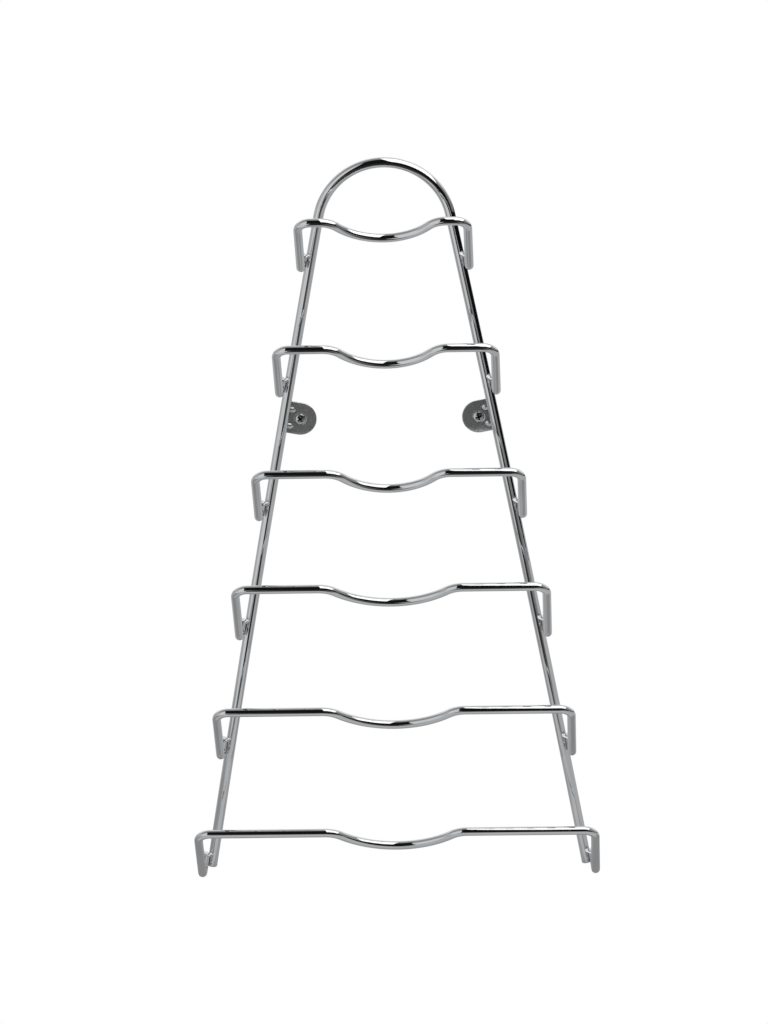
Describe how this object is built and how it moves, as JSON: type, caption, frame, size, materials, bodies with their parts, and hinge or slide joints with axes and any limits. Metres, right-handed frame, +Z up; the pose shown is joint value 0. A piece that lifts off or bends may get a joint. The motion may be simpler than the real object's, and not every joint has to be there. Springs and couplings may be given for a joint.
{
  "type": "wall-mounted wire rack",
  "caption": "Tall tapering wall rack of bent chrome wire: an arched frame with dipped rails standing out in front to hold pan lids or other flat round things on edge.",
  "frame": {"origin": "on the wall plane, midway between the two screws", "axes": "+X to the right as seen from the room, +Y into the wall, +Z up"},
  "size_m": [0.2836, 0.0806, 0.5175],
  "materials": {
    "chrome": "bright chrome plate on smooth bent steel wire, mirror-like with faint drawing marks",
    "weld_metal": "chrome-plated fused steel, uneven and less bright than the wire",
    "plate_metal": "satin grey plated sheet steel with rolled edges",
    "screw_zinc": "bright zinc-plated steel, slightly worn in the cross recess"
  },
  "bodies": {
    "root": {"frame_hoop": "chrome", "rail_1": "chrome", "rail_2": "chrome", "rail_3": "chrome", "rail_4": "chrome", "rail_5": "chrome", "rail_6": "chrome", "rail_1_weld_left": "weld_metal", "rail_1_weld_right": "weld_metal", "rail_2_weld_left": "weld_metal", "rail_2_weld_right": "weld_metal", "rail_3_weld_left": "weld_metal", "rail_3_weld_right": "weld_metal", "rail_4_weld_left": "weld_metal", "rail_4_weld_right": "weld_metal", "rail_5_weld_left": "weld_metal", "rail_5_weld_right": "weld_metal", "rail_6_weld_left": "weld_metal", "rail_6_weld_right": "weld_metal", "plate_weld_left_upper": "weld_metal", "plate_weld_left_lower": "weld_metal", "plate_weld_right_upper": "weld_metal", "plate_weld_right_lower": "weld_metal", "wall_plate_left": "plate_metal", "wall_plate_right": "plate_metal", "screw_left": "screw_zinc", "screw_right": "screw_zinc"}
  },
  "joints": []
}
